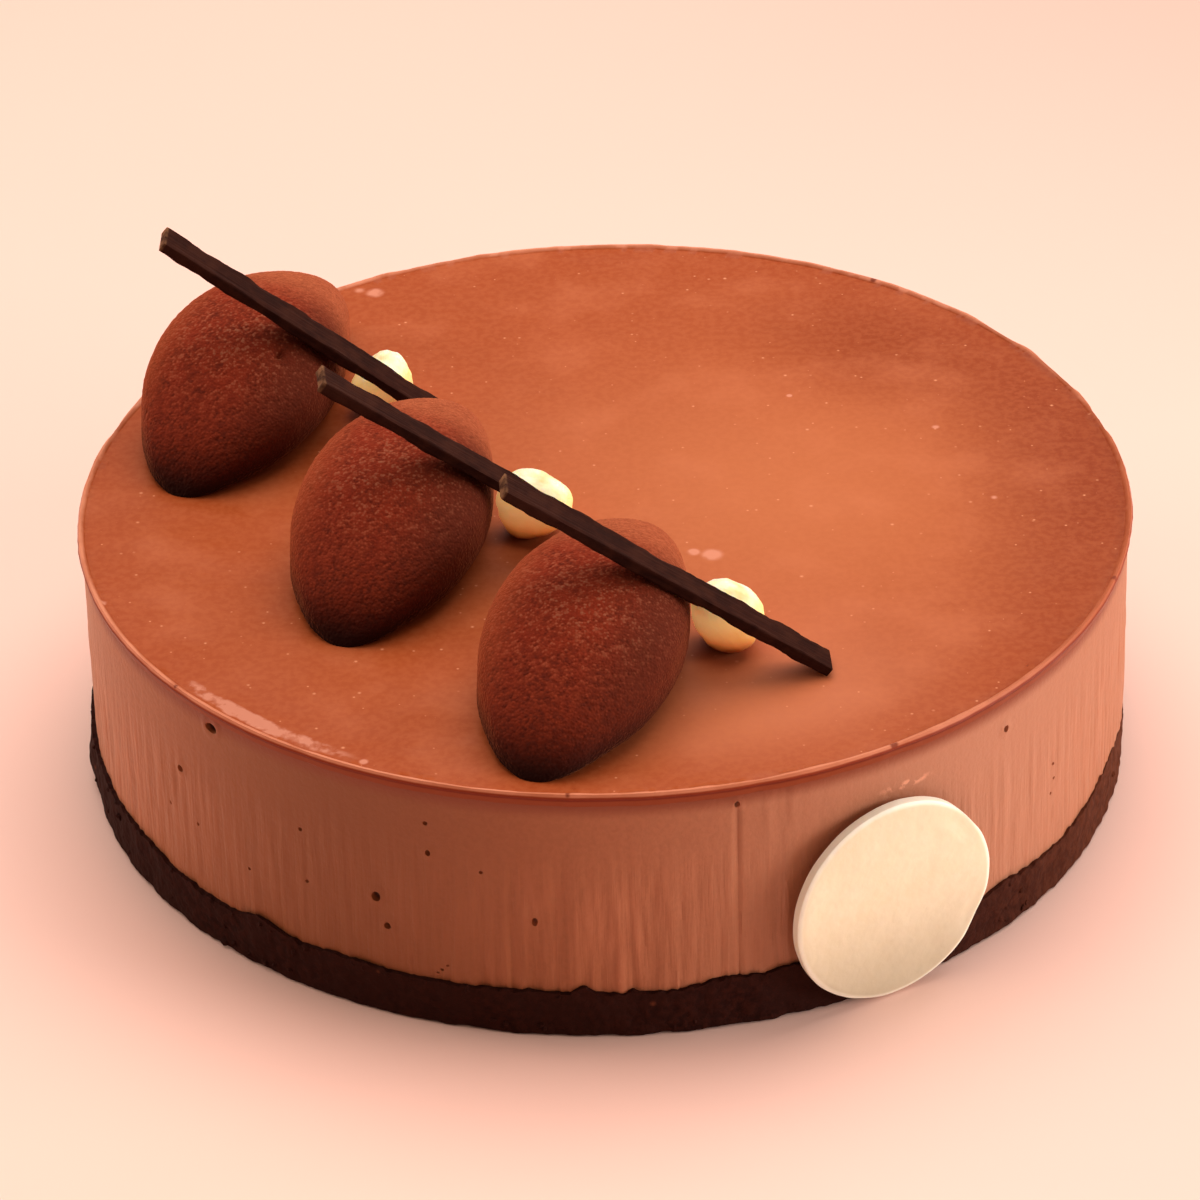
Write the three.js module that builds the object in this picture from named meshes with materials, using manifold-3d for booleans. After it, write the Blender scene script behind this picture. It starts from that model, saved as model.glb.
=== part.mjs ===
// A whole round hazelnut cheesecake: dark biscuit base, set hazelnut cream and a thin
// caramel-coloured glaze, topped with three cocoa-dusted quenelles, each with a blanched
// hazelnut beside it and a flat chocolate stick leaning over both. A bare white chocolate
// plaque stands against the side.
//
// Millimetres, +Z up. The origin is the centre of the underside, -Y is the front.
// An azimuth is measured from the front towards +X.

import * as THREE from 'three';
import { mergeVertices } from 'three/addons/utils/BufferGeometryUtils.js';
import Module from 'manifold-3d';

const wasm = await Module();
wasm.setup();

// ---------------------------------------------------------------- driving dimensions

const CAKE_RADIUS = 90;
const CAKE_HEIGHT = 46.8;
const BASE_HEIGHT = 9.3;
const GLAZE_THICKNESS = 2;

const BASE_RADIUS = 90.1;
const BASE_WAVE = 0.15;
const BASE_EDGE_WAVE = 0.35;
const BASE_EDGE_DROP = 0.9;
const CREAM_RADIUS = 89.3;
const CREAM_WAVE = 0.12;
const GLAZE_WAVE = 0.15;
const CREAM_TOP = CAKE_HEIGHT - GLAZE_THICKNESS;
const LEVEL_RADIUS = 70;
const LIP_WIDTH = 2.6;
const LIP_RISE = 0.5;

const QUENELLE_LENGTH = 67;
const QUENELLE_WIDTH = 33;
const QUENELLE_HEIGHT = 22.2;
const QUENELLE_SUNK = 0.4;

const NUT_DIAMETER = 12.4;
const NUT_HEIGHT = 13.4;
const NUT_FLAT = 0.4;
const NUT_POINT = 0.17;

const STICK_LENGTH = 61;
const STICK_WIDTH = 5.9;
const STICK_THICKNESS = 1.8;
const STICK_UNEVEN = 0.45;
const STICK_GAP = 0.3;

const PLAQUE_DIAMETER = 36.8;
const PLAQUE_THICKNESS = 1.8;
const PLAQUE_AZIMUTH = 29.4;
const PLAQUE_BACK = 90.75;
const PLAQUE_FLOOR_GAP = 0.4;

const ROUND_STEPS = 144;

// Each group of toppings, from the back of the cake to the front. A quenelle points with
// its tip to the front left; its angle is that of the long axis, from +X.
const TOPPINGS = [
  {
    quenelle: { x: -60.1, y: 33.6, angle: 65.6, length: 0.97, width: 0.99, height: 1.01 },
    stick: { x: -27, y: 24.8, lift: 1.4, angle: -1.8, slope: 37.3, length: 0.99 },
    nut: { x: -38.2, y: 32.6, size: 0.9, lean: 62, turn: 160 },
  },
  {
    quenelle: { x: -33.9, y: -12.7, angle: 72, length: 1.01, width: 0.985, height: 0.995 },
    stick: { x: 0.6, y: -16.7, lift: 1, angle: 5.3, slope: 37.2, length: 0.98 },
    nut: { x: -11.5, y: -9.4, size: 0.97, lean: 76, turn: 60 },
  },
  {
    quenelle: { x: -2.1, y: -53.4, angle: 71.1, length: 1.02, width: 1, height: 0.99 },
    stick: { x: 35.3, y: -53.8, lift: 0, angle: 2.8, slope: 35.3, length: 1.048 },
    nut: { x: 19.2, y: -46.1, size: 0.94, lean: 34, turn: -75 },
  },
];

// Bumps of the base's top edge: azimuth, rise and width in degrees.
const BASE_BUMPS = [
  { azimuth: -88, rise: 1.7, width: 22 },
  { azimuth: -62, rise: 0.7, width: 6 },
  { azimuth: -40.5, rise: 1.4, width: 2.6 },
  { azimuth: -30, rise: 0.5, width: 3 },
  { azimuth: -4, rise: 1, width: 1.6 },
  { azimuth: 11, rise: 1.4, width: 3 },
  { azimuth: 19, rise: 1.5, width: 5 },
  { azimuth: 46, rise: 0.8, width: 3 },
  { azimuth: 72, rise: 2.2, width: 8 },
  { azimuth: 118, rise: 1.2, width: 9 },
  { azimuth: 160, rise: 0.9, width: 5 },
  { azimuth: -150, rise: 1.3, width: 7 },
  { azimuth: -122, rise: 0.8, width: 4 },
];

// Where the base's side bulges out a little: azimuth, how far and width in degrees.
const BASE_BULGE = { azimuth: -84, out: 0.7, width: 4 };

// Dents of the glaze's outline: azimuth, depth and width in degrees.
const RIM_DENTS = [
  { azimuth: 115.5, depth: 0.8, width: 3 },
  { azimuth: 104.5, depth: 0.7, width: 2.4 },
  { azimuth: 127, depth: 0.4, width: 3 },
  { azimuth: -108, depth: 0.4, width: 2.5 },
  { azimuth: -160, depth: 0.5, width: 3 },
];

// Air holes that open at the side of the cream: azimuth, height, width and how tall.
const AIR_HOLES = [
  { azimuth: -46.5, height: 43, width: 2.8, tall: 1.8 },
  { azimuth: -52.4, height: 30.6, width: 1.5, tall: 1.3 },
  { azimuth: -25.5, height: 22.4, width: 1.7, tall: 1.9 },
  { azimuth: -24.3, height: 17.1, width: 1.3, tall: 1.3 },
  { azimuth: -8.3, height: 22.1, width: 1.1, tall: 1.7 },
  { azimuth: -19.4, height: 33.2, width: 1, tall: 1.2 },
  { azimuth: 12.8, height: 43, width: 1, tall: 1.4 },
  { azimuth: 46, height: 39.5, width: 1.2, tall: 1.4 },
];

// ------------------------------------------------------------------------- materials

const material = (color, roughness) =>
  new THREE.MeshStandardMaterial({ color, roughness, metalness: 0 });

const biscuit = material(0x3a1c11, 0.8);
const cream = material(0x9c5632, 0.6);
const glaze = material(0xc9683c, 0.3);
const cocoaVelvet = material(0x83301c, 0.9);
const darkChocolate = material(0x3c1d14, 0.45);
const blanchedNut = material(0xf3dcae, 0.55);
const whiteChocolate = material(0xefd2a6, 0.5);

// ---------------------------------------------------------------------------- helpers

const radians = THREE.MathUtils.degToRad;

// Repeatable random numbers between 0 and 1.
function seededRandom(seed) {
  let state = seed;
  return () => {
    state = (state * 1664525 + 1013904223) % 4294967296;
    return state / 4294967296;
  };
}

// A smooth hump of height 1 at the centre; both arguments are in degrees.
function hump(azimuth, centre, width) {
  const turn = ((azimuth - centre + 540) % 360) - 180;
  return Math.exp(-((turn / width) ** 2));
}

// A slow closed wave round the cake, between about -1 and 1.
function roundWave(azimuth, count, phase) {
  const angle = radians(azimuth);
  const slow = Math.sin(count * angle + phase);
  const quick = Math.sin((2 * count + 3) * angle + 2.3 * phase);
  return 0.6 * slow + 0.4 * quick;
}

// A point at an azimuth (degrees), a radius and a height.
function aroundCake(azimuth, radius, height) {
  const angle = radians(azimuth);
  return new THREE.Vector3(radius * Math.sin(angle), -radius * Math.cos(angle), height);
}

// A closed body from a start point, rings of equally many points and an end point. The
// rings run with the same turn, so that the faces point out. Two bodies that meet in the
// same two rings split the squares between them alike if one of them is mirrored.
function bodyFromRings(start, rings, end, mirrored = false) {
  const steps = rings[0].length;
  const points = [start, ...rings.flat(), end];
  const indices = [];
  const last = points.length - 1;
  for (let step = 0; step < steps; step += 1) {
    const next = (step + 1) % steps;
    indices.push(0, 1 + next, 1 + step);
    for (let ring = 0; ring + 1 < rings.length; ring += 1) {
      const low = 1 + ring * steps;
      const high = low + steps;
      if (mirrored) {
        indices.push(low + step, low + next, high + step);
        indices.push(low + next, high + next, high + step);
      } else {
        indices.push(low + step, low + next, high + next);
        indices.push(low + step, high + next, high + step);
      }
    }
    const top = 1 + (rings.length - 1) * steps;
    indices.push(top + step, top + next, last);
  }
  const geometry = new THREE.BufferGeometry().setFromPoints(points);
  geometry.setIndex(indices);
  return geometry;
}

// Rings round the cake, one for each profile row; a row gives radius and height.
function ringsAroundCake(rows) {
  return rows.map((row) => {
    const ring = [];
    for (let step = 0; step < ROUND_STEPS; step += 1) {
      const azimuth = (360 * step) / ROUND_STEPS;
      const { radius, height } = row(azimuth);
      ring.push(aroundCake(azimuth, radius, height));
    }
    return ring;
  });
}

function toSolid(geometry) {
  const bare = geometry.clone();
  bare.deleteAttribute('normal');
  bare.deleteAttribute('uv');
  const merged = mergeVertices(bare);
  const mesh = new wasm.Mesh({
    numProp: 3,
    vertProperties: new Float32Array(merged.attributes.position.array),
    triVerts: new Uint32Array(merged.index.array),
  });
  return new wasm.Manifold(mesh);
}

function toGeometry(solid) {
  const { vertProperties, triVerts } = solid.getMesh();
  const geometry = new THREE.BufferGeometry();
  geometry.setAttribute('position', new THREE.BufferAttribute(vertProperties, 3));
  geometry.setIndex(new THREE.BufferAttribute(triVerts, 1));
  return geometry;
}

function subtract(geometry, cutters) {
  let solid = toSolid(geometry);
  for (const cutter of cutters) {
    solid = solid.subtract(toSolid(cutter));
  }
  return toGeometry(solid);
}

// A block that takes away everything below the plane z = 0.
function belowPlane() {
  const size = 4 * QUENELLE_LENGTH;
  return new THREE.BoxGeometry(size, size, size).translate(0, 0, -size / 2);
}

function namedMesh(name, geometry, meshMaterial) {
  const flat = geometry.index ? geometry.toNonIndexed() : geometry;
  flat.computeVertexNormals();
  const mesh = new THREE.Mesh(flat, meshMaterial);
  mesh.name = name;
  return mesh;
}

// ------------------------------------------------------------------- the round layers

// Height at which the cream meets the biscuit, at the side.
function baseEdgeHeight(azimuth) {
  let height = BASE_HEIGHT - BASE_EDGE_DROP + BASE_EDGE_WAVE * roundWave(azimuth, 7, 1.1);
  for (const bump of BASE_BUMPS) {
    height += bump.rise * hump(azimuth, bump.azimuth, bump.width);
  }
  return height;
}

// Radius of the cream's side, a little uneven from the ring it was set in.
function creamRadius(azimuth) {
  return CREAM_RADIUS + CREAM_WAVE * roundWave(azimuth, 5, 0.4);
}

// Radius of the glaze's outline.
function glazeRadius(azimuth) {
  let radius = CAKE_RADIUS + GLAZE_WAVE * roundWave(azimuth, 9, 2.2);
  for (const dent of RIM_DENTS) {
    radius -= dent.depth * hump(azimuth, dent.azimuth, dent.width);
  }
  return radius;
}

// The two rings in which biscuit and cream meet: level inside, wavy at the side.
const levelRing = () => ({ radius: LEVEL_RADIUS, height: BASE_HEIGHT });
const edgeRing = (azimuth) => ({
  radius: creamRadius(azimuth),
  height: baseEdgeHeight(azimuth),
});

function biscuitBase() {
  const random = seededRandom(11);
  const uneven = (amount) => amount * (random() - 0.5);
  const side = (share, inset, roughness) => (azimuth) => {
    const wave = BASE_WAVE * roundWave(azimuth, 6, 2.9) + uneven(roughness);
    const bulge = BASE_BULGE.out * hump(azimuth, BASE_BULGE.azimuth, BASE_BULGE.width);
    return {
      radius: BASE_RADIUS - inset + wave + Math.sin(Math.PI * share) * bulge,
      height: share * baseEdgeHeight(azimuth),
    };
  };
  const rows = [
    side(0, 1.1, 0.3),
    side(0.12, 0.1, 0.3),
    side(0.5, -0.1, 0.5),
    side(0.88, 0, 0.3),
    edgeRing,
    levelRing,
  ];
  const bottom = new THREE.Vector3(0, 0, 0);
  const top = new THREE.Vector3(0, 0, BASE_HEIGHT);
  return bodyFromRings(bottom, ringsAroundCake(rows), top);
}

function airHole({ azimuth, height, width, tall }) {
  const hole = new THREE.SphereGeometry(0.5, 8, 6);
  hole.scale(width, 1.4 * width, tall);
  hole.rotateZ(radians(azimuth));
  const centre = aroundCake(azimuth, creamRadius(azimuth), height);
  return hole.translate(centre.x, centre.y, centre.z);
}

function creamLayer() {
  const side = (share) => (azimuth) => ({
    radius: creamRadius(azimuth) + 0.1 * Math.sin(Math.PI * share) * roundWave(azimuth, 11, 0.9),
    height: THREE.MathUtils.lerp(baseEdgeHeight(azimuth), CREAM_TOP, share),
  });
  const rows = [levelRing, edgeRing, side(0.3), side(0.65), side(1)];
  const bottom = new THREE.Vector3(0, 0, BASE_HEIGHT);
  const top = new THREE.Vector3(0, 0, CREAM_TOP);
  const body = bodyFromRings(bottom, ringsAroundCake(rows), top, true);
  return subtract(body, AIR_HOLES.map(airHole));
}

function glazeLayer() {
  const row = (inset, height, wave) => (azimuth) => ({
    radius: glazeRadius(azimuth) - inset,
    height: height + wave * roundWave(azimuth, 8, 1.7),
  });
  const rows = [
    row(0.5, CREAM_TOP, 0),
    row(0.05, CREAM_TOP + 0.45, 0.12),
    row(0.1, CAKE_HEIGHT - 0.3, 0.1),
    row(0.5, CAKE_HEIGHT + 0.8 * LIP_RISE, 0.08),
    row(1.1, CAKE_HEIGHT + LIP_RISE, 0.08),
    row(LIP_WIDTH, CAKE_HEIGHT, 0),
  ];
  const bottom = new THREE.Vector3(0, 0, CREAM_TOP);
  const top = new THREE.Vector3(0, 0, CAKE_HEIGHT);
  return bodyFromRings(bottom, ringsAroundCake(rows), top);
}

// ----------------------------------------------------------------------- the toppings

// Cross-section of a quenelle at one angle round its long axis: across and up, for a half
// width of 1 and a height of 1. The sides are steep, the top is broad, and a soft ridge
// runs along the shoulder on the left.
function quenelleSection(angle) {
  const waist = 0.5;
  const squareness = 3;
  const ridge = Math.exp(-(((angle - radians(131)) / 0.33) ** 2));
  const flank = Math.exp(-(((angle - radians(172)) / 0.4) ** 2));
  const crown = Math.exp(-(((angle - radians(85)) / 0.5) ** 2));
  const swell = 1 + 0.07 * ridge - 0.04 * flank - 0.03 * crown;
  const up = Math.sin(angle);
  const across = -Math.cos(angle);
  if (up > 0) {
    return { across: across * (1 + 0.1 * up) * swell, up: waist + (1 - waist) * up * swell };
  }
  const low = Math.sign(across) * Math.abs(across) ** (2 / squareness);
  return { across: low * swell, up: waist - waist * Math.abs(up) ** (2 / squareness) * swell };
}

// A spooned quenelle along +X, with its tip at -X and its flat underside at z = 0.
function quenelleGeometry(length, width, height) {
  const rounds = 24;
  const steps = 30;
  const rings = [];
  for (let round = 1; round < rounds; round += 1) {
    const along = (1 - Math.cos((Math.PI * round) / rounds)) / 2;
    const halfWidth = (width / 2) * Math.sin(Math.PI * along ** 0.75) ** (0.98 - 0.14 * along);
    const crest = height * Math.sin(Math.PI * along ** 1.14) ** (0.53 - 0.03 * along);
    const ring = [];
    for (let step = 0; step < steps; step += 1) {
      const section = quenelleSection(2 * Math.PI * (1 - step / steps));
      const x = (along - 0.5) * length;
      const lump = 0.15 * Math.sin(9 * along + 2 * section.across) * Math.sin(5 * section.up);
      const z = crest * section.up + lump - QUENELLE_SUNK;
      ring.push(new THREE.Vector3(x, halfWidth * section.across, z));
    }
    rings.push(ring);
  }
  const tip = new THREE.Vector3(-length / 2, 0, -QUENELLE_SUNK);
  const tail = new THREE.Vector3(length / 2, 0, -QUENELLE_SUNK);
  return bodyFromRings(tip, rings, tail);
}

// A flat stick that runs from its foot at the origin along -X, underside at z = 0. Its
// long edges are a little uneven, as broken or cut chocolate is. The margin makes it
// larger all round, as a cutter for the groove that it lies in.
function stickGeometry(length, seed, margin = 0) {
  const parts = 20;
  const fullLength = length + 2 * margin;
  const width = STICK_WIDTH + 2 * margin;
  const stick = new THREE.BoxGeometry(fullLength, width, STICK_THICKNESS + 2 * margin, parts);
  stick.translate(-length / 2, 0, STICK_THICKNESS / 2);
  stick.deleteAttribute('normal');
  stick.deleteAttribute('uv');
  const merged = mergeVertices(stick);
  const random = seededRandom(seed);
  const edges = Array.from({ length: parts + 1 }, () => [random() - 0.5, random() - 0.5]);
  const position = merged.attributes.position;
  for (let i = 0; i < position.count; i += 1) {
    const along = Math.round(((margin - position.getX(i)) / fullLength) * parts);
    const [left, right] = edges[along];
    const uneven = position.getY(i) > 0 ? left : right;
    position.setY(i, position.getY(i) + STICK_UNEVEN * uneven);
  }
  return merged;
}

// Turns a stick to its slope and direction, and puts its foot on the glaze or above it.
function placeStick(object, { x, y, lift, angle, slope }) {
  object.rotation.set(0, radians(slope), radians(angle), 'ZYX');
  object.position.set(x, y, CAKE_HEIGHT + lift);
}

// A blanched hazelnut: round, with a broad blunt foot and a slight point, and with shallow
// flats round it. It leans over, in the direction of its turn, and lies on a small flat spot.
function nutGeometry(size, lean, turn) {
  const steps = 16;
  const rows = 10;
  const radius = (size * NUT_DIAMETER) / 2;
  const height = size * NUT_HEIGHT;
  const profile = [];
  for (let row = 0; row <= rows; row += 1) {
    const angle = (Math.PI * row) / rows;
    const pointed = 1 + NUT_POINT * Math.cos(angle);
    const isEnd = row === 0 || row === rows;
    const r = isEnd ? 0 : 0.97 * radius * Math.sin(angle) ** 0.85 * pointed;
    profile.push(new THREE.Vector2(r, (-height / 2) * Math.cos(angle)));
  }
  const nut = new THREE.LatheGeometry(profile, steps).rotateX(Math.PI / 2);
  nut.deleteAttribute('normal');
  nut.deleteAttribute('uv');
  const body = mergeVertices(nut);
  const position = body.attributes.position;
  const point = new THREE.Vector3();
  for (let i = 0; i < position.count; i += 1) {
    point.fromBufferAttribute(position, i);
    const around = Math.atan2(point.y, point.x);
    const flats = 1 + 0.035 * Math.cos(3 * around + 0.8) + 0.02 * Math.cos(5 * around);
    position.setXYZ(i, point.x * flats, point.y * flats, point.z);
  }
  body.rotateX(radians(lean)).rotateZ(radians(turn));
  body.computeBoundingBox();
  body.translate(0, 0, -body.boundingBox.min.z - NUT_FLAT);
  return body;
}

// ------------------------------------------------------------------------- the plaque

// A thin disc with a rounded face edge and a slightly uneven outline, lying with its back
// at z = 0.
function plaqueGeometry() {
  const steps = 64;
  const radius = PLAQUE_DIAMETER / 2;
  const outline = (azimuth) =>
    radius * (1 + 0.006 * roundWave(azimuth, 3, 0.7))
    - 0.5 * hump(azimuth, 128, 14) - 0.4 * hump(azimuth, 62, 10);
  const ring = (inset, height) => {
    const points = [];
    for (let step = 0; step < steps; step += 1) {
      const azimuth = (360 * step) / steps;
      points.push(aroundCake(azimuth, outline(azimuth) - inset, height));
    }
    return points;
  };
  const rings = [
    ring(0.2, 0),
    ring(0, 0.25),
    ring(0.05, PLAQUE_THICKNESS - 0.7),
    ring(0.35, PLAQUE_THICKNESS - 0.2),
    ring(1, PLAQUE_THICKNESS),
  ];
  const back = new THREE.Vector3(0, 0, 0);
  const face = new THREE.Vector3(0, 0, PLAQUE_THICKNESS);
  return bodyFromRings(back, rings, face);
}

// --------------------------------------------------------------------------- assembly

const cheesecake = new THREE.Group();
cheesecake.add(namedMesh('biscuit_base', biscuitBase(), biscuit));
cheesecake.add(namedMesh('hazelnut_cream', creamLayer(), cream));
cheesecake.add(namedMesh('glaze', glazeLayer(), glaze));

TOPPINGS.forEach((topping, index) => {
  const number = index + 1;
  const seed = 20 + number;
  const stickLength = topping.stick.length * STICK_LENGTH;

  const stickShape = stickGeometry(stickLength, seed);
  const stick = namedMesh(`chocolate_stick_${number}`, stickShape, darkChocolate);
  placeStick(stick, topping.stick);

  const { x, y, angle, length, width, height } = topping.quenelle;
  const holder = new THREE.Group();
  holder.position.set(x, y, CAKE_HEIGHT);
  holder.rotation.z = radians(angle);
  holder.updateMatrixWorld();
  const groove = new THREE.Mesh(stickGeometry(stickLength, seed, STICK_GAP));
  placeStick(groove, topping.stick);
  groove.updateMatrixWorld();
  const grooveInHolder = holder.matrixWorld.clone().invert().multiply(groove.matrixWorld);
  const shape = subtract(
    quenelleGeometry(
      length * QUENELLE_LENGTH,
      width * QUENELLE_WIDTH,
      height * QUENELLE_HEIGHT,
    ),
    [belowPlane(), groove.geometry.applyMatrix4(grooveInHolder)],
  );
  holder.add(namedMesh(`quenelle_${number}`, shape, cocoaVelvet));

  const { size, lean, turn } = topping.nut;
  const nutShape = subtract(nutGeometry(size, lean, turn), [belowPlane()]);
  const nut = namedMesh(`hazelnut_${number}`, nutShape, blanchedNut);
  nut.position.set(topping.nut.x, topping.nut.y, CAKE_HEIGHT);

  cheesecake.add(holder, stick, nut);
});

const plaque = namedMesh('white_plaque', plaqueGeometry(), whiteChocolate);
plaque.rotation.set(Math.PI / 2, 0, radians(PLAQUE_AZIMUTH), 'ZYX');
plaque.position.copy(
  aroundCake(PLAQUE_AZIMUTH, PLAQUE_BACK, PLAQUE_DIAMETER / 2 + PLAQUE_FLOOR_GAP),
);
cheesecake.add(plaque);

export default cheesecake;
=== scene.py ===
"""The looks of a whole round hazelnut cheesecake: biscuit base, hazelnut cream, caramel glaze,
cocoa-dusted quenelles, chocolate sticks, blanched hazelnuts and a bare white plaque.

Metres, +Z up, -Y is the front. An azimuth is measured from the front towards +X, in degrees.
"""

import math
import random

import bmesh
import bpy
from mathutils import Matrix, Vector


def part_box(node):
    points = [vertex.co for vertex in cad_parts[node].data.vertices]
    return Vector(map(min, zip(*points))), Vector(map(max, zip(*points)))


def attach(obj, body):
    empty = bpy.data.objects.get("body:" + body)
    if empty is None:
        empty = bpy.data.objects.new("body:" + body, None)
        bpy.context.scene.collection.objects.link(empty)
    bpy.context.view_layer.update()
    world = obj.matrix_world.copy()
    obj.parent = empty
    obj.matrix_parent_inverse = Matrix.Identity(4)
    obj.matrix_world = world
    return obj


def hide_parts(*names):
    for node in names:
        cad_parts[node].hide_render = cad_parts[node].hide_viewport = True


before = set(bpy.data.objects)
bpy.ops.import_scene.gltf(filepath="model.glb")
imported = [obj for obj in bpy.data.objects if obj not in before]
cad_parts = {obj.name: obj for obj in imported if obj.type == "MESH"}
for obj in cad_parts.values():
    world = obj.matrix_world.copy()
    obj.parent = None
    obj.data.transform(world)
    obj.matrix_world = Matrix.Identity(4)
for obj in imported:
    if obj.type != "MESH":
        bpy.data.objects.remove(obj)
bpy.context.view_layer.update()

MM = 0.001
NEARLY = 0.01 * MM  # what lies closer than this counts as the same place

# ---------- sizes and places

CAKE_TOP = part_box("quenelle_1")[0].z
CREAM_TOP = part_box("glaze")[0].z

BASE_RADIUS = 90.1 * MM
BASE_SEAM = 8.4 * MM
BASE_COLUMNS = 1600
BASE_ROWS = 24
BASE_FOOT_SHARE = 0.988
CRUMBS = 150
CRUMB_SEED = 7

CREAM_RADIUS = 89.3 * MM
CREAM_COLUMNS = 1200
CREAM_ROWS = 56
CREAM_BELOW_SEAM = 0.8 * MM
STREAKS_BELOW_TOP = 6 * MM
STREAKS_GROW_OVER = 12 * MM
HOLE_RIM = 0.22 * MM

GLAZE_RADIUS = 90 * MM
GLAZE_COLUMNS = 1200
LIP_WIDTH = 2.6 * MM
LIP_RISE = 0.45 * MM
LIP_DROP = 0.3 * MM

# How far each ring of the lip lies inside the one before it, and how far each row of the glaze's
# side lies inside its widest place, from below, in millimetres.
LIP_STEPS = (0.3, 0.4, 0.6, 1.3)
GLAZE_SIDE_INSETS = (0.6, 0.45, 0.3, 0.12)

LEVEL_RADIUS = 70 * MM
LEVEL_HEIGHT = 9.3 * MM

QUENELLE_SIZE = Vector((67, 33, 22.2)) * MM
QUENELLE_SUNK = 0.4 * MM
TIP_REACH = 3.5 * MM
TIP_DRAWN_IN = 0.9 * MM
PIT_REACH = 0.9 * MM
PIT_DEPTH = 1.1 * MM
STICK_SIZE = Vector((61, 5.9, 1.8)) * MM
STICK_CLEARANCE = 0.06 * MM
STICK_CUTS = (120, 11, 3)  # along, across and through
NUT_DIAMETER = 12.4 * MM
NUT_HEIGHT = 13.4 * MM
NUT_FLAT = 0.4 * MM

# Segments and rings of the spheres that the quenelles and the nuts start from.
QUENELLE_MESH = (44, 28)
NUT_MESH = (32, 20)

PLAQUE_RADIUS = 18.4 * MM
PLAQUE_THICKNESS = 1.8 * MM
PLAQUE_AZIMUTH = 29.4
PLAQUE_BACK = 90.75 * MM
PLAQUE_FLOOR_GAP = 0.4 * MM
PLAQUE_RINGS = 15

# The soft shoulder of the plaque: how far in and how far up each step goes, in millimetres.
PLAQUE_SHOULDER = ((0.3, 0.3), (0.5, 0.12), (0.8, 0.05))

# Dents of the plaque's outline: direction, share of the deepest and reach in degrees.
PLAQUE_DENTS = ((128, 1, 14), (62, 0.8, 10))
PLAQUE_DENT_DEPTH = 0.5 * MM

# The toppings from the back of the cake to the front: places in millimetres, turns in degrees,
# sizes as shares of the usual ones.
TOPPINGS = (
    {
        "quenelle": {
            "x": -60.1, "y": 33.6, "angle": 65.6, "size": (0.97, 0.99, 1.01), "pit": (-9.2, -9.1)
        },
        "stick": {"x": -27, "y": 24.8, "lift": 1.4, "angle": -1.8, "slope": 37.3, "length": 0.99},
        "nut": {"x": -38.2, "y": 32.6, "size": 0.9, "lean": 62, "turn": 160},
    },
    {
        "quenelle": {"x": -33.9, "y": -12.7, "angle": 72, "size": (1.01, 0.985, 0.995)},
        "stick": {"x": 0.6, "y": -16.7, "lift": 1, "angle": 5.3, "slope": 37.2, "length": 0.98},
        "nut": {"x": -11.5, "y": -9.4, "size": 0.97, "lean": 76, "turn": 60},
    },
    {
        "quenelle": {"x": -2.1, "y": -53.4, "angle": 71.1, "size": (1.02, 1, 0.99)},
        "stick": {"x": 35.3, "y": -53.8, "lift": 0, "angle": 2.8, "slope": 35.3, "length": 1.048},
        "nut": {"x": 19.2, "y": -46.1, "size": 0.94, "lean": 34, "turn": -75},
    },
)

# Where the seam between biscuit and cream rises: azimuth, rise in millimetres and reach in
# degrees.
SEAM_BUMPS = (
    (-88, 1.7, 22), (-62, 0.7, 6), (-40.5, 1.4, 2.6), (-30, 0.5, 3), (-3.4, 1.4, 1.1),
    (-9.2, 0.4, 0.5), (1.6, 0.6, 0.45), (11, 1.4, 3), (19, 1.5, 5), (46, 0.8, 3), (72, 2.2, 8),
    (118, 1.2, 9), (160, 0.9, 5), (-150, 1.3, 7), (-122, 0.8, 4),
)
HIGHEST_BUMP = 3
SEAM_FADES_OVER = 12 * MM

# Where the side of the base bulges and where it is drawn in: azimuth, share of the depth and
# reach in degrees.
BASE_BULGE = ((-84, 1, 4),)
BULGE_DEPTH = 0.7 * MM
BASE_DRAWN_IN = ((82, 1, 26),)
DRAWN_IN_DEPTH = 0.75 * MM

# Dents of the glaze's outline: azimuth, depth in millimetres and reach in degrees.
RIM_DENTS = ((115.5, 0.8, 3), (104.5, 0.7, 2.4), (127, 0.4, 3), (-108, 0.4, 2.5), (-160, 0.5, 3))

SCRATCH_AZIMUTH = 12.8
SCRATCH_FOOT = 5 * MM
SCRATCH_TOP = 43 * MM
SCRATCH_WIDTH = 0.35 * MM
SCRATCH_DEPTH = 0.45 * MM
RIDGES = (2, 26)  # azimuth and reach in degrees
TALL_RIDGES = (18, 4.5)

# Air holes at the side of the cream: azimuth, and height, width and how tall in millimetres.
AIR_HOLES = (
    (-46.5, 43, 2.8, 1.8), (-52.4, 30.6, 1.5, 1.3), (-25.5, 22.4, 1.7, 1.9),
    (-24.3, 17.1, 1.3, 1.3), (-8.3, 22.1, 1.1, 1.7), (-19.4, 33.2, 1, 1.2),
    (12.8, 43, 1, 1.4), (46, 39.5, 1.2, 1.4), (-34.5, 31, 0.8, 0.8), (-55, 21.6, 0.7, 0.8),
    (-49.8, 21.6, 0.7, 0.7), (-34, 21, 0.8, 0.7), (-41.9, 18.5, 0.7, 0.6),
    (-13.8, 30.8, 0.7, 0.7), (-19.6, 38.8, 0.9, 0.8), (-18.4, 10.4, 0.7, 0.5),
    (-17.8, 11.3, 0.6, 0.4), (-18.9, 9.6, 0.6, 0.4), (55, 25, 0.7, 0.6), (55.2, 22, 0.7, 0.6),
    (54.6, 19.4, 0.6, 0.6),
)

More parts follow.
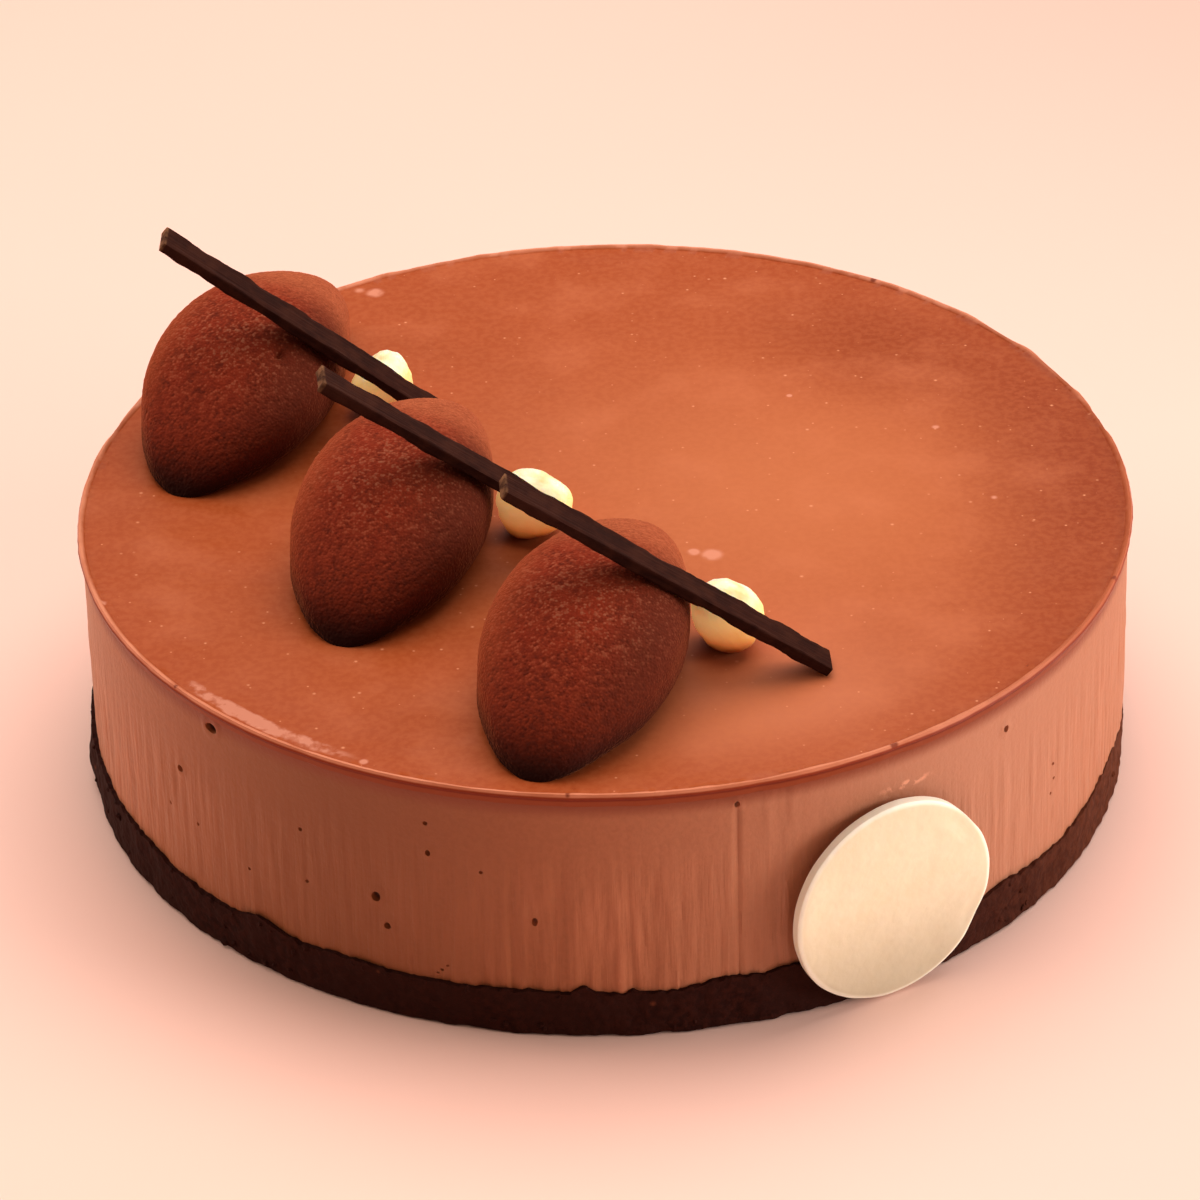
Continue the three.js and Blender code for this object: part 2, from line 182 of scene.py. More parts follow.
# Painted highlights on the glaze, pale spots where small drops catch the light: place and radius in
# millimetres.
GLAZE_HIGHLIGHTS = (
    ((-40.7, 74.5), 2.4), ((-43.5, 75.6), 1.5), ((17.9, -18.2), 2.6), ((14.8, -17.2), 1.6),
    ((-39.5, -78), 1.1), ((-84.2, -28.8), 1.2), ((58, 22), 1), ((66.5, -2), 0.9), ((33, 34), 0.8),
)

# Dark nicks of the lip, painted shade where the lip is broken: azimuth, and radius in millimetres.
RIM_NICKS = ((30.3, 1.1), (-4.5, 0.7), (-52, 0.6), (71, 0.9), (146, 1), (-118, 0.9))

# The camera: its place, how far it looks down and its slight roll in radians, and its lens.
CAMERA_PLACE = Vector((-1.16, -846.2, 563.8)) * MM
CAMERA_DOWN = 0.5655
CAMERA_ROLL = 0.0247
CAMERA_LENS = 174


def around(azimuth, radius, height):
    """The point at an azimuth, a distance from the axis and a height."""
    turn = math.radians(azimuth)
    return Vector((radius * math.sin(turn), -radius * math.cos(turn), height))


def azimuth_of(place):
    return math.degrees(math.atan2(place.x, -place.y))


def fade(away, reach):
    """1 in the middle, falling off softly on both sides to 0.37 at the reach."""
    return math.exp(-((away / reach) ** 2))


# ---------- modelling aids


def work_on(piece):
    """Makes a piece the only one selected."""
    bpy.ops.object.select_all(action="DESELECT")
    piece.select_set(True)
    bpy.context.view_layer.objects.active = piece


def open_mesh(piece):
    work_on(piece)
    bpy.ops.object.mode_set(mode="EDIT")


def close_mesh():
    bpy.ops.object.mode_set(mode="OBJECT")


def pick(piece, kind, wanted):
    """Selects the vertices, edges or faces of an open mesh that are wanted."""
    bpy.ops.mesh.select_mode(type=kind)
    bpy.ops.mesh.select_all(action="DESELECT")
    shape = bmesh.from_edit_mesh(piece.data)
    parts = {"VERT": shape.verts, "EDGE": shape.edges, "FACE": shape.faces}[kind]
    for part in parts:
        if wanted(part):
            part.select_set(True)
    shape.select_flush_mode()
    bmesh.update_edit_mesh(piece.data)


def resize(share, centre=(0, 0, 0)):
    """Resizes what is selected in an open mesh."""
    bpy.ops.transform.resize(value=share, center_override=centre)


def lift(rise):
    """Lifts what is selected in an open mesh."""
    bpy.ops.transform.translate(value=(0, 0, rise))


def modify(piece, kind, **settings):
    """Adds a modifier to a piece and applies it."""
    work_on(piece)
    modifier = piece.modifiers.new(kind.title(), kind)
    for name, value in settings.items():
        setattr(modifier, name, value)
    bpy.ops.object.modifier_apply(modifier=modifier.name)


def smooth_out(piece, levels):
    modify(piece, "SUBSURF", levels=levels, render_levels=levels)


def weigh(piece, name, weight):
    """Gives every vertex of a piece a weight between 0 and 1, worked out from its place."""
    group = piece.vertex_groups.new(name=name)
    for vertex in piece.data.vertices:
        group.add([vertex.index], weight(vertex.co), "REPLACE")


def swell(piece, weight, depth, direction="NORMAL"):
    """Moves the surface of a piece out, or along an axis, by a depth times a weight."""
    weigh(piece, "swell", weight)
    modify(
        piece, "DISPLACE", strength=depth, mid_level=0, direction=direction, vertex_group="swell"
    )
    piece.vertex_groups.clear()


def roughen(piece, grain, depth, stretch=(1, 1, 1), group="", direction="NORMAL"):
    """Raises and sinks the surface of a piece in a grain of the given size and depth."""
    texture = bpy.data.textures.new("grain", "CLOUDS")
    texture.noise_scale = grain
    bpy.ops.object.empty_add()
    guide = bpy.context.object
    guide.scale = stretch
    bpy.context.view_layer.update()
    modify(
        piece, "DISPLACE", texture=texture, texture_coords="OBJECT", texture_coords_object=guide,
        strength=depth, mid_level=0.5, direction=direction, vertex_group=group,
    )
    bpy.data.objects.remove(guide)
    bpy.data.textures.remove(texture)


def cut_away(piece, cutter):
    """Cuts a shape out of a piece and removes the cutter."""
    modify(piece, "BOOLEAN", operation="DIFFERENCE", solver="EXACT", object=cutter)
    bpy.data.objects.remove(cutter)


def cut_level(piece, height):
    """Cuts off what lies below a height and closes the piece there."""
    open_mesh(piece)
    bpy.ops.mesh.select_all(action="SELECT")
    bpy.ops.mesh.bisect(
        plane_co=(0, 0, height), plane_no=(0, 0, 1), clear_inner=True, use_fill=True
    )
    close_mesh()


def twin(piece):
    """A copy of a piece with a mesh of its own."""
    copy = piece.copy()
    copy.data = piece.data.copy()
    bpy.context.scene.collection.objects.link(copy)
    return copy


def join(piece, others):
    """Makes other pieces part of a piece."""
    work_on(piece)
    for other in others:
        other.select_set(True)
    bpy.ops.object.join()


def set_in_place(piece):
    """Moves the place, turn and size of a piece into its mesh."""
    work_on(piece)
    bpy.ops.object.transform_apply(location=True, rotation=True, scale=True)


def keep_own_places(piece, start=(0, 0, 0)):
    """Notes where each vertex lies from a start before the piece is put on the cake."""
    own = piece.data.attributes.new("own_place", "FLOAT_VECTOR", "POINT")
    for note, vertex in zip(own.data, piece.data.vertices):
        note.vector = vertex.co - Vector(start)


def finish_piece(piece, node, material, crease=35):
    """Shades a finished piece and lets it stand for its node."""
    work_on(piece)
    bpy.ops.object.shade_smooth_by_angle(angle=math.radians(crease))
    piece.vertex_groups.clear()
    piece.data.materials.clear()
    piece.data.materials.append(material)
    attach(piece, "root")
    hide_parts(node)


# ---------- round layers


def add_layer(name, columns, rows, radius, bottom, top):
    """A round layer with its side in columns and rows, left open for more work."""
    bpy.ops.mesh.primitive_cylinder_add(
        vertices=columns, radius=radius, depth=top - bottom, location=(0, 0, (top + bottom) / 2)
    )
    layer = bpy.context.object
    layer.name = name
    set_in_place(layer)
    open_mesh(layer)
    pick(layer, "EDGE", lambda edge: abs(edge.verts[0].co.z - edge.verts[1].co.z) > MM)
    bpy.ops.mesh.subdivide(number_cuts=rows - 1)
    return layer


def is_cap(face, height):
    """Whether a face is the whole top or bottom of a round piece, at a height."""
    return len(face.verts) > 4 and abs(face.calc_center_median().z - height) < NEARLY


def bumps_at(azimuth, bumps):
    """The height of a row of soft bumps at an azimuth, in the bumps' own unit."""
    total = 0
    for middle, rise, reach in bumps:
        total += rise * fade((azimuth - middle + 180) % 360 - 180, reach)
    return total


def outward(co):
    """How far out a point lies: 0 within the level middle and 1 at the side of the base."""
    return max(co.xy.length - LEVEL_RADIUS, 0) / (BASE_RADIUS - LEVEL_RADIUS)


def raise_seam(layer, share):
    """Lifts a layer where the seam has its bumps, by the share that each height takes."""

    def raised(co):
        bump_share = bumps_at(azimuth_of(co), SEAM_BUMPS) / HIGHEST_BUMP
        return min(bump_share * share(co.z) * outward(co), 1)

    swell(layer, raised, HIGHEST_BUMP * MM, "Z")


def model_biscuit_base():
    layer = add_layer("biscuit_layer", BASE_COLUMNS, BASE_ROWS, BASE_RADIUS, 0, BASE_SEAM)
    pick(layer, "FACE", lambda face: is_cap(face, BASE_SEAM))
    for thickness in (0.15 * MM, 1 * MM, BASE_RADIUS - LEVEL_RADIUS):
        bpy.ops.mesh.inset(thickness=thickness)
    lift(LEVEL_HEIGHT - BASE_SEAM)
    pick(layer, "VERT", lambda vertex: vertex.co.z < NEARLY)
    resize((BASE_FOOT_SHARE, BASE_FOOT_SHARE, 1))
    close_mesh()
    raise_seam(layer, lambda height: height / BASE_SEAM)

    def at_side(co):
        return co.xy.length > CREAM_RADIUS

    def bulging(co):
        if not at_side(co):
            return 0
        return bumps_at(azimuth_of(co), BASE_BULGE) * math.sin(math.pi * min(co.z / BASE_SEAM, 1))

    def drawn_in(co):
        return bumps_at(azimuth_of(co), BASE_DRAWN_IN) * min(outward(co), 1)

    swell(layer, bulging, BULGE_DEPTH)
    swell(layer, drawn_in, -DRAWN_IN_DEPTH, "X")
    weigh(layer, "seam", lambda co: co.z / BASE_SEAM if at_side(co) else 0)
    roughen(layer, 1.6 * MM, 1.6 * MM, group="seam", direction="Z")
    weigh(layer, "side", lambda co: 1 if at_side(co) and co.z > 0.2 * MM else 0)
    roughen(layer, 5 * MM, 0.9 * MM, group="side")
    roughen(layer, 1.8 * MM, 0.24 * MM, group="side")
    strew_crumbs(layer)
    return layer


def strew_crumbs(layer):
    """Joins small crumbs to the side of the biscuit, most of them at its foot and its seam."""
    chance = random.Random(CRUMB_SEED)
    seam = BASE_SEAM / MM
    bpy.ops.mesh.primitive_ico_sphere_add(subdivisions=2, radius=1)
    crumb = bpy.context.object
    roughen(crumb, 0.8, 1.2)
    copies = []
    for _ in range(CRUMBS):
        copy = twin(crumb)
        size = chance.uniform(0.25, 0.7) * MM
        height = chance.choice((chance.uniform(0.9, 2.2), chance.uniform(1, 7), seam - 0.7))
        azimuth = chance.uniform(-180, 180)
        rise = bumps_at(azimuth, SEAM_BUMPS) * height / seam
        inward = 0.25 * MM + DRAWN_IN_DEPTH * bumps_at(azimuth, BASE_DRAWN_IN)
        copy.location = around(azimuth, BASE_RADIUS - inward, (height + rise) * MM)
        copy.rotation_euler = [chance.uniform(0, math.pi) for _ in range(3)]
        copy.scale = [size * chance.uniform(0.7, 1.4) for _ in range(3)]
        copies.append(copy)
    bpy.data.objects.remove(crumb)
    join(layer, copies)


def air_hole(azimuth, height, width, tall):
    """A cutter in the shape of one air hole."""
    bpy.ops.mesh.primitive_uv_sphere_add(
        segments=14, ring_count=9, radius=0.5 * MM,
        location=around(azimuth, CREAM_RADIUS, height * MM),
        rotation=(0, 0, math.radians(azimuth)),
        scale=(width, 1.5 * width, tall),
    )
    return bpy.context.object


def model_cream():
    bottom = BASE_SEAM - CREAM_BELOW_SEAM
    layer = add_layer("cream_layer", CREAM_COLUMNS, CREAM_ROWS, CREAM_RADIUS, bottom, CREAM_TOP)
    pick(layer, "FACE", lambda face: is_cap(face, bottom))
    bpy.ops.mesh.inset(thickness=CREAM_RADIUS - LEVEL_RADIUS)
    lift(LEVEL_HEIGHT - bottom)
    close_mesh()
    raise_seam(layer, lambda height: max(1 - (height - bottom) / SEAM_FADES_OVER, 0))

    def at_side(co):
        return co.xy.length >= CREAM_RADIUS - MM

    def scratched(co):
        if not at_side(co) or not SCRATCH_FOOT < co.z < SCRATCH_TOP:
            return 0
        away = (azimuth_of(co) - SCRATCH_AZIMUTH) * math.radians(1) * CREAM_RADIUS
        return fade(away, SCRATCH_WIDTH)

    def streaky(co):
        if not at_side(co):
            return 0
        low = min(max((CREAM_TOP - STREAKS_BELOW_TOP - co.z) / STREAKS_GROW_OVER, 0), 1)
        return 0.12 + 0.88 * low

    def ridged(co):
        low = streaky(co) ** 2 * fade(azimuth_of(co) - RIDGES[0], RIDGES[1])
        tall = 0.55 * fade(azimuth_of(co) - TALL_RIDGES[0], TALL_RIDGES[1])
        return max(low, tall) if at_side(co) else 0

    swell(layer, scratched, -SCRATCH_DEPTH)
    weigh(layer, "ridges", ridged)
    roughen(layer, 2.6 * MM, 1.2 * MM, stretch=(1, 1, 9), group="ridges")
    weigh(layer, "side", streaky)
    roughen(layer, 1.3 * MM, 0.46 * MM, stretch=(1, 1, 16), group="side")
    roughen(layer, 6 * MM, 0.35 * MM, group="side")

    large_holes = [
        (around(azimuth, CREAM_RADIUS, height * MM), width / 2 * MM)
        for azimuth, height, width, _ in AIR_HOLES
        if width > 0.9
    ]

    def beside_hole(co):
        if not at_side(co):
            return 0
        share = 0
        for middle, reach in large_holes:
            away = (co - middle).length
            if away < 3 * reach:
                share = max(share, fade(away - 1.25 * reach, 0.45 * MM))
        return share

    swell(layer, beside_hole, HOLE_RIM)
    cutter, *others = [air_hole(*hole) for hole in AIR_HOLES]
    join(cutter, others)
    cut_away(layer, cutter)
    return layer


def model_glaze():
    rows = len(GLAZE_SIDE_INSETS)
    layer = add_layer(
        "caramel_glaze_layer", GLAZE_COLUMNS, rows, GLAZE_RADIUS, CREAM_TOP, CAKE_TOP
    )
    pick(layer, "FACE", lambda face: is_cap(face, CAKE_TOP))
    for thickness in LIP_STEPS:
        bpy.ops.mesh.inset(thickness=thickness * MM)
    inner, outer = GLAZE_RADIUS - 0.9 * MM, GLAZE_RADIUS - 0.2 * MM

    def on_top(vertex):
        return vertex.co.z > CAKE_TOP - NEARLY

    pick(layer, "VERT", lambda vertex: on_top(vertex) and inner < vertex.co.xy.length < outer)
    lift(LIP_RISE)
    pick(layer, "VERT", lambda vertex: on_top(vertex) and vertex.co.xy.length > outer)
    lift(-LIP_DROP)
    for row, inset in enumerate(GLAZE_SIDE_INSETS):
        height = CREAM_TOP + row / rows * (CAKE_TOP - CREAM_TOP)
        pick(layer, "VERT", lambda vertex: abs(vertex.co.z - height) < NEARLY)
        share = 1 - inset * MM / GLAZE_RADIUS
        resize((share, share, 1), (0, 0, height))
    close_mesh()
    upright = GLAZE_RADIUS - 0.6 * MM
    swell(
        layer,
        lambda co: bumps_at(azimuth_of(co), RIM_DENTS) if co.xy.length > upright else 0,
        -1 * MM,
    )
    weigh(layer, "rim", lambda co: 1 if co.xy.length > GLAZE_RADIUS - LIP_WIDTH else 0)
    roughen(layer, 7 * MM, 0.35 * MM, group="rim")
    roughen(layer, 2 * MM, 0.12 * MM, group="rim")
    return layer


# ---------- toppings


def in_line(across, up, angle, segments):
    """Whether a point of a round body lies on the line of its mesh that runs at an angle."""
    gap = (math.atan2(up, across) - angle + math.pi) % (2 * math.pi) - math.pi
    return math.hypot(across, up) > NEARLY and abs(gap) < 0.5 * math.pi / segments


def quenelle_section(angle):
    """How far the cross-section of a quenelle lies out, at an angle round its long axis, across
    and up: steep sides, a broad top and a soft ridge on the left shoulder."""
    across, up = -math.cos(angle), math.sin(angle)
    ridge = fade(angle - math.radians(131), 0.33)
    flank = fade(angle - math.radians(172), 0.4)
    crown = fade(angle - math.radians(85), 0.5)
    size = 1 + 0.07 * ridge - 0.04 * flank - 0.03 * crown
    if up > 0:
        return (1 + 0.1 * up) * size, size
    square = -1 / 3
    wide = max(abs(across), 0.05) ** square
    tall = max(abs(up), 0.05) ** square
    return wide * size, tall * size


def model_quenelle(number, spec, stick):
    """A spooned quenelle: a round body drawn out to a tip, cut flat below, with the groove that
    its stick lies in."""
    length, width, height = (share * usual for share, usual in zip(spec["size"], QUENELLE_SIZE))
    segments, rings = QUENELLE_MESH
    bpy.ops.mesh.primitive_uv_sphere_add(
        segments=segments, ring_count=rings, radius=length / 2, rotation=(0, math.pi / 2, 0)
    )
    body = bpy.context.object
    body.name = f"cocoa_quenelle_{number}"
    set_in_place(body)
    open_mesh(body)
    for step in range(segments):
        angle = 2 * math.pi * step / segments
        pick(body, "VERT", lambda vertex: in_line(-vertex.co.y, vertex.co.z, angle, segments))
        wide, tall = quenelle_section(angle)
        resize((1, wide, tall))
    for step in range(1, rings):
        turn = math.pi * step / rings
        along = (1 - math.cos(turn)) / 2
        place = (along - 0.5) * length
        round_size = length / 2 * math.sin(turn)
        blunt = 0.22 * fade(along, 0.08)
        half_width = width / 2 * math.sin(math.pi * along**0.75) ** (0.98 - 0.14 * along - blunt)
        crest = height * math.sin(math.pi * along**1.14) ** (0.53 - 0.03 * along)
        pick(body, "VERT", lambda vertex: abs(vertex.co.x - place) < 2 * NEARLY)
        resize((1, half_width / round_size, crest / 2 / round_size), (place, 0, 0))
        lift(crest / 2)
    close_mesh()
    smooth_out(body, 3)
    cut_level(body, QUENELLE_SUNK)
    swell(body, lambda co: fade(co.x + length / 2, TIP_REACH), TIP_DRAWN_IN, "X")
    if "pit" in spec:
        pit = Vector(spec["pit"]) * MM
        swell(
            body,
            lambda co: fade((co.xy - pit).length, PIT_REACH) if co.z > height / 3 else 0,
            -PIT_DEPTH,
        )
    weigh(body, "dusted", lambda co: 1 if co.z > QUENELLE_SUNK + 0.3 * MM else 0)
    roughen(body, 9 * MM, 0.35 * MM, group="dusted")
    roughen(body, 0.6 * MM, 0.22 * MM, group="dusted")
    keep_own_places(body)
    body.location = (spec["x"] * MM, spec["y"] * MM, CAKE_TOP - QUENELLE_SUNK)
    body.rotation_euler.z = math.radians(spec["angle"])
    set_in_place(body)
    groove = twin(stick)
    modify(groove, "DISPLACE", strength=STICK_CLEARANCE, mid_level=0)
    cut_away(body, groove)
    return body


def model_stick(number, spec):
    """A thin flat stick, made lying with its foot at the origin and its length along -X, and
    then leaned up. It is roughened at a place of its own, so that no two look the same."""
    length, width, thickness = spec["length"] * STICK_SIZE.x, STICK_SIZE.y, STICK_SIZE.z
    bpy.ops.mesh.primitive_cube_add(
        size=1, location=(-length / 2, 0, thickness / 2), scale=(length, width, thickness)
    )
    stick = bpy.context.object
    stick.name = f"dark_chocolate_stick_{number}"
    set_in_place(stick)
    open_mesh(stick)
    for axis, cuts in enumerate(STICK_CUTS):
        pick(stick, "EDGE", lambda edge: abs(edge.verts[0].co[axis] - edge.verts[1].co[axis]) > MM)
        bpy.ops.mesh.subdivide(number_cuts=cuts)
    close_mesh()
    modify(stick, "BEVEL", width=0.18 * MM, segments=2, limit_method="ANGLE")
    aside = 40 * MM * number
    stick.location.y = aside
    set_in_place(stick)
    edge = width / 2 - 0.9 * MM
    weigh(stick, "edges", lambda co: min(max((abs(co.y - aside) - edge) / (0.7 * MM), 0), 1))
    roughen(stick, 9 * MM, 1.1 * MM, stretch=(1, 1, 4), group="edges")
    roughen(stick, 1.4 * MM, 0.25 * MM, stretch=(1, 1, 4), group="edges")
    roughen(stick, 1 * MM, 0.12 * MM, stretch=(14, 1, 1))
    roughen(stick, 0.9 * MM, 0.06 * MM)
    stick.location.y = -aside
    set_in_place(stick)
    keep_own_places(stick, start=(-length, 0, 0))
    stick.rotation_euler = (0, math.radians(spec["slope"]), math.radians(spec["angle"]))
    stick.location = (spec["x"] * MM, spec["y"] * MM, CAKE_TOP + spec["lift"] * MM)
    set_in_place(stick)
    return stick


def model_nut(number, spec):
    """A blanched hazelnut with a broad foot, a slight point and shallow flats, leaning over and
    lying on a small flat spot."""
    segments, rings = NUT_MESH
    radius, height = spec["size"] * NUT_DIAMETER / 2, spec["size"] * NUT_HEIGHT
    bpy.ops.mesh.primitive_uv_sphere_add(segments=segments, ring_count=rings, radius=radius)
    nut = bpy.context.object
    nut.name = f"blanched_hazelnut_{number}"
    open_mesh(nut)
    for step in range(1, rings):
        angle = math.pi * step / rings
        place = -radius * math.cos(angle)
        share = 0.97 * math.sin(angle) ** -0.15 * (1 + 0.17 * math.cos(angle))
        pick(nut, "VERT", lambda vertex: abs(vertex.co.z - place) < 2 * NEARLY)
        resize((share, share, 1))
    for step in range(segments):
        angle = 2 * math.pi * step / segments - math.pi
        pick(nut, "VERT", lambda vertex: in_line(vertex.co.x, vertex.co.y, angle, segments))
        share = 1 + 0.05 * math.cos(3 * angle + 0.8) + 0.03 * math.cos(5 * angle)
        resize((share, share, 1))
    bpy.ops.mesh.select_all(action="SELECT")
    resize((1, 1, height / 2 / radius))
    close_mesh()
    smooth_out(nut, 2)
    roughen(nut, 3.5 * MM, 0.9 * MM)
    roughen(nut, 0.8 * MM, 0.1 * MM, stretch=(1, 1, 6))
    keep_own_places(nut)
    nut.rotation_euler = (math.radians(spec["lean"]), 0, math.radians(spec["turn"]))
    set_in_place(nut)
    lowest = min(vertex.co.z for vertex in nut.data.vertices)
    nut.location = (spec["x"] * MM, spec["y"] * MM, CAKE_TOP - lowest - NUT_FLAT)
    set_in_place(nut)
    cut_level(nut, CAKE_TOP)
    return nut


def model_plaque():
    """A bare white chocolate disc with a soft shoulder, standing against the side."""
    middle = (0, 0, PLAQUE_THICKNESS / 2)
    bpy.ops.mesh.primitive_cylinder_add(
        vertices=256, radius=PLAQUE_RADIUS, depth=PLAQUE_THICKNESS, location=middle
    )
    plaque = bpy.context.object
    plaque.name = "white_chocolate_plaque"
    set_in_place(plaque)
    open_mesh(plaque)
    pick(plaque, "FACE", lambda face: is_cap(face, PLAQUE_THICKNESS))
    for thickness, rise in PLAQUE_SHOULDER:
        bpy.ops.mesh.inset(thickness=thickness * MM)
        lift(rise * MM)
    for _ in range(PLAQUE_RINGS):
        bpy.ops.mesh.inset(thickness=PLAQUE_RADIUS / (PLAQUE_RINGS + 3))
    close_mesh()
    plaque.scale.z = PLAQUE_THICKNESS / max(vertex.co.z for vertex in plaque.data.vertices)
    set_in_place(plaque)
    near_edge = PLAQUE_RADIUS - 3.4 * MM
    swell(
        plaque,
        lambda co: bumps_at(azimuth_of(co), PLAQUE_DENTS) if co.xy.length > near_edge else 0,
        -PLAQUE_DENT_DEPTH,
    )
    roughen(plaque, 9 * MM, 0.3 * MM)
    keep_own_places(plaque)
    plaque.rotation_euler = (math.pi / 2, 0, math.radians(PLAQUE_AZIMUTH))
    plaque.location = around(PLAQUE_AZIMUTH, PLAQUE_BACK, PLAQUE_RADIUS + PLAQUE_FLOOR_GAP)
    set_in_place(plaque)
    return plaque


# ---------- material aids


def colour(red, green, blue):
    """A colour given from 0 to 255, as seen, in the shader's own linear values."""

    def linear(value):
        share = value / 255
        return share / 12.92 if share <= 0.04045 else ((share + 0.055) / 1.055) ** 2.4

    return (linear(red), linear(green), linear(blue), 1)


def feed(tree, socket, value):
    """Sets a socket to a plain value, or links another node's output to it."""
    if isinstance(value, bpy.types.NodeSocket):
        tree.links.new(value, socket)
    else:
        socket.default_value = value


def add_node(tree, kind, inputs=None, **settings):
    """A new node with its settings and what goes into it."""
    node = tree.nodes.new(kind)
    for name, value in settings.items():
        setattr(node, name, value)
    for name, value in (inputs or {}).items():
        feed(tree, node.inputs[name], value)
    return node


def new_material(name, **finish):
    """A material with one shader, whose even values are set on the shader itself."""
    material = bpy.data.materials.new(name)
    material.use_nodes = True
    tree = material.node_tree
    tree.nodes.clear()
    shader = add_node(tree, "ShaderNodeBsdfPrincipled")
    for socket, value in finish.items():
        shader.inputs[socket.replace("_", " ")].default_value = value
    add_node(tree, "ShaderNodeOutputMaterial", {"Surface": shader.outputs["BSDF"]})
    return material, tree, shader


def blend(tree, share, first, second):
    """One colour laid over another by a share."""
    inputs = {0: share, 6: first, 7: second}
    return add_node(tree, "ShaderNodeMix", inputs, data_type="RGBA").outputs[2]


def coat(tree, tone, share, red, green, blue):
    """A colour, given from 0 to 255, laid over a tone by a share."""
    return blend(tree, share, tone, colour(red, green, blue))


def spread(tree, value, low, high, bottom=0.0, top=1.0):
    """A value between low and high, softly spread from bottom to top."""
    node = add_node(
        tree,
        "ShaderNodeMapRange",
        {"Value": value, "From Min": low, "From Max": high, "To Min": bottom, "To Max": top},
        interpolation_type="SMOOTHSTEP",
    )
    return node.outputs["Result"]


def bump(tree, height, depth, below=None):
    """Fine relief of the given depth in metres, on top of the relief below it."""
    inputs = {"Height": height, "Distance": depth}
    if below is not None:
        inputs["Normal"] = below
    return add_node(tree, "ShaderNodeBump", inputs).outputs["Normal"]


def work_out(tree, operation, first, second=0.0):
    """The result of one step of arithmetic."""
    return add_node(tree, "ShaderNodeMath", {0: first, 1: second}, operation=operation).outputs[0]


def times(tree, first, second):
    return work_out(tree, "MULTIPLY", first, second)


def part_of(tree, place, axis):
    """One of the three parts of a place: X, Y or Z."""
    return add_node(tree, "ShaderNodeSeparateXYZ", {"Vector": place}).outputs[axis]


def new_group(name, inputs, *outputs):
    """A shader group with named number and vector inputs and outputs that are plain values."""
    group = bpy.data.node_groups.new(name, "ShaderNodeTree")
    for label, value in inputs.items():
        kind = "NodeSocketVector" if isinstance(value, tuple) else "NodeSocketFloat"
        socket = group.interface.new_socket(name=label, in_out="INPUT", socket_type=kind)
        socket.default_value = value
    for label in outputs:
        group.interface.new_socket(name=label, in_out="OUTPUT", socket_type="NodeSocketFloat")
    start = group.nodes.new("NodeGroupInput")
    end = group.nodes.new("NodeGroupOutput")
    return group, start, end


def use_group(tree, group, **inputs):
    """A group's output, or all of them if it has more."""
    node = add_node(tree, "ShaderNodeGroup", inputs, node_tree=group)
    return node.outputs[0] if len(node.outputs) == 1 else tuple(node.outputs)


def in_units(group, start, size):
    """The group's place, counted in units of the size that it is given."""
    inputs = {
        0: start.outputs["Place"],
        "Scale": work_out(group, "DIVIDE", 1.0, start.outputs[size]),
    }
    return add_node(group, "ShaderNodeVectorMath", inputs, operation="SCALE").outputs[0]


def group_cloudy():
    """Soft clouds of a size in metres, from the low value of their noise, where they are 0, to
    the high one, where they are 1."""
    inputs = {"Place": (0, 0, 0), "Size": 0.01, "Low": 0.3, "High": 0.7}
    group, start, end = new_group("cloudy", inputs, "Mask")
    noise = add_node(
        group,
        "ShaderNodeTexNoise",
        {"Vector": in_units(group, start, "Size"), "Scale": 1.0, "Detail": 3.0, "Roughness": 0.55},
    )
    mask = spread(group, noise.outputs[0], start.outputs["Low"], start.outputs["High"])
    group.links.new(mask, end.inputs["Mask"])
    return group


def group_specks():
    """Small round specks: the size of the cells they are strewn over, in metres, how large a
    speck may be in its cell and which share of the cells has one."""
    inputs = {"Place": (0, 0, 0), "Cell": 0.002, "Speck": 0.2, "Share": 0.5}
    group, start, end = new_group("specks", inputs, "Mask")
    cells = add_node(
        group, "ShaderNodeTexVoronoi", {"Vector": in_units(group, start, "Cell"), "Scale": 1.0}
    )
    parts = add_node(group, "ShaderNodeSeparateColor", {"Color": cells.outputs["Color"]})
    size = times(group, parts.outputs["Green"], start.outputs["Speck"])
    inside = spread(group, cells.outputs["Distance"], size, 0.0)
    there = work_out(group, "LESS_THAN", parts.outputs["Red"], start.outputs["Share"])
    group.links.new(times(group, inside, there), end.inputs["Mask"])
    return group


def group_grains():
    """A surface of small rounded grains of a size in metres: how high it is, and a value for
    each grain."""
    inputs = {"Place": (0, 0, 0), "Size": 0.001}
    group, start, end = new_group("grains", inputs, "Height", "Tone")
    cells = add_node(
        group,
        "ShaderNodeTexVoronoi",
        {"Vector": in_units(group, start, "Size"), "Scale": 1.0},
        feature="SMOOTH_F1",
    )
    height = add_node(
        group,
        "ShaderNodeMapRange",
        {"Value": cells.outputs["Distance"], "From Min": 0.8, "From Max": 0.0},
    )
    parts = add_node(group, "ShaderNodeSeparateColor", {"Color": cells.outputs["Color"]})
    group.links.new(height.outputs["Result"], end.inputs["Height"])
    group.links.new(parts.outputs["Red"], end.inputs["Tone"])
    return group


def group_patch():
    """A soft patch on the round of the cake: where it lies in degrees and its reach there, and
    the middle and the width of it across, along any other value. Without that value, the patch
    has no end across."""
    inputs = {
        "Place": (0, 0, 0), "Azimuth": 0.0, "Reach": 10.0, "Across": 0.0, "Middle": 0.0, "Width": 1.0
    }
    group, start, end = new_group("patch", inputs, "Mask")
    place = start.outputs["Place"]
    front = times(group, part_of(group, place, "Y"), -1.0)
    turn = work_out(group, "ARCTAN2", part_of(group, place, "X"), front)
    azimuth = work_out(group, "DEGREES", turn)
    masks = []
    for value, middle, reach in (
        (azimuth, "Azimuth", "Reach"),
        (start.outputs["Across"], "Middle", "Width"),
    ):
        away = work_out(group, "SUBTRACT", value, start.outputs[middle])
        away = work_out(group, "ABSOLUTE", away)
        masks.append(spread(group, away, start.outputs[reach], 0.0))
    group.links.new(times(group, *masks), end.inputs["Mask"])
    return group


